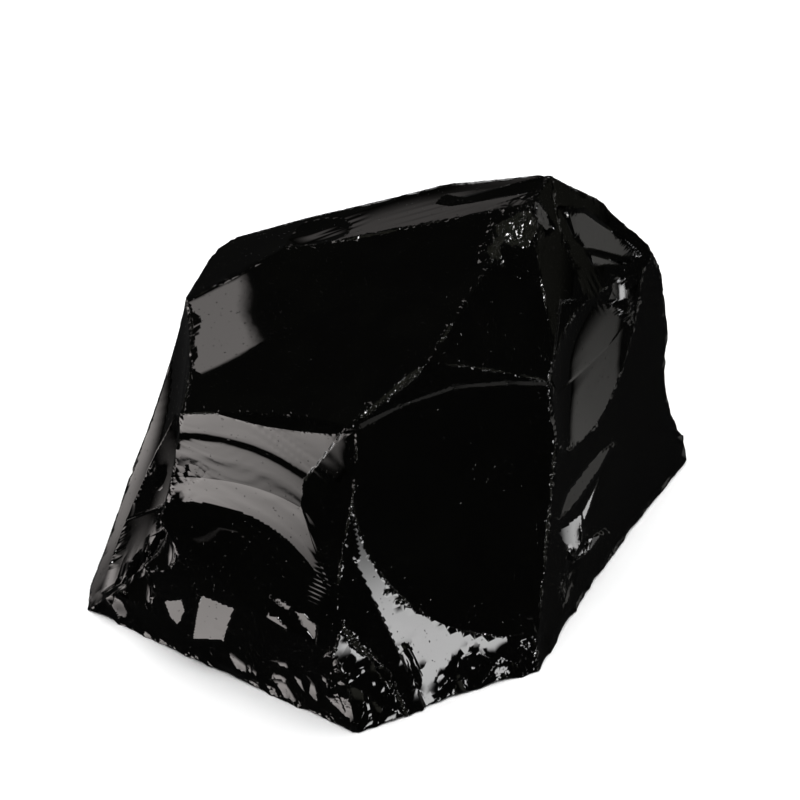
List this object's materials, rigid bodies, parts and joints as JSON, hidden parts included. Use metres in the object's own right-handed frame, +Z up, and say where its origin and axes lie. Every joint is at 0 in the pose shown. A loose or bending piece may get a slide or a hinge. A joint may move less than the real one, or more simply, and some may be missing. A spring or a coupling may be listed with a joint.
{
  "type": "obsidian chunk",
  "caption": "Hand-sized chunk of black volcanic glass with sharp ridges and hollow shell-shaped breaks, resting on a flat broken face.",
  "frame": {"origin": "the middle of the base, at the centre of the bounding box in X and Y and at its lowest height", "axes": "+Z up; +X to the right along the longest way, seen from the front; -Y toward the front"},
  "size_m": [0.0806, 0.0652, 0.0555],
  "materials": {
    "obsidian": "opaque black natural glass, mirror-smooth on its breaks"
  },
  "bodies": {
    "root": {"obsidian_chunk": "obsidian"}
  },
  "joints": []
}
